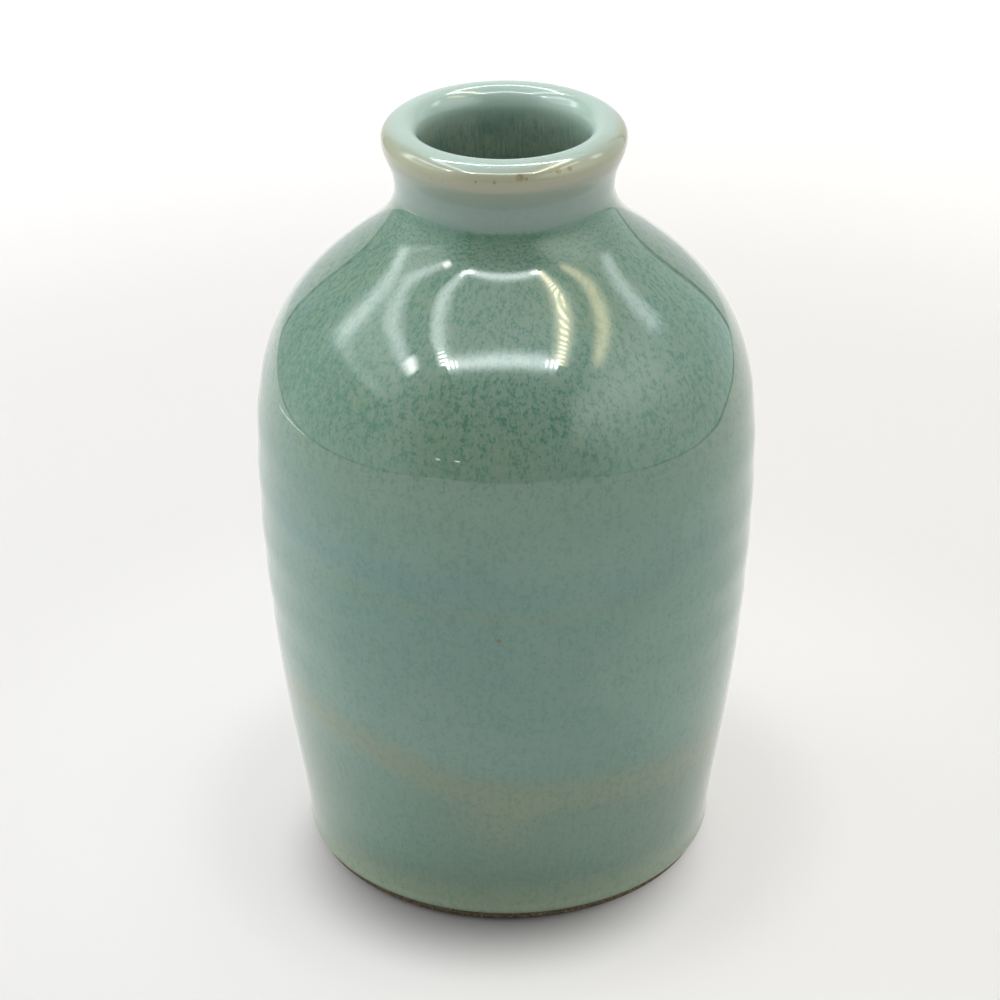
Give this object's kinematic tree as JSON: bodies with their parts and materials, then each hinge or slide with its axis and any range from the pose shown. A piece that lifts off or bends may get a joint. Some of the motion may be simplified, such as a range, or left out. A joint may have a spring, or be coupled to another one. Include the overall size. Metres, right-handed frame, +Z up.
{
  "type": "sake bottle",
  "caption": "Small wheel-thrown sake bottle with a rounded shoulder, short flared neck and rolled lip, green-glazed inside and out, on a bare clay foot ring.",
  "frame": {"origin": "middle of the flat foot ring's underside, on the vessel's axis", "axes": "+Z up along the axis the vessel was turned about, out of the mouth; +X and +Y are any two directions square to it"},
  "size_m": [0.0826, 0.0826, 0.13],
  "materials": {
    "bare_stoneware": "matte",
    "celadon_outside": "gloss",
    "celadon_lining": "gloss",
    "celadon_underside": "gloss"
  },
  "bodies": {
    "root": {"stoneware_body": "bare_stoneware", "outer_glaze": "celadon_outside", "lining_glaze": "celadon_lining", "foot_recess_glaze": "celadon_underside"}
  },
  "joints": []
}
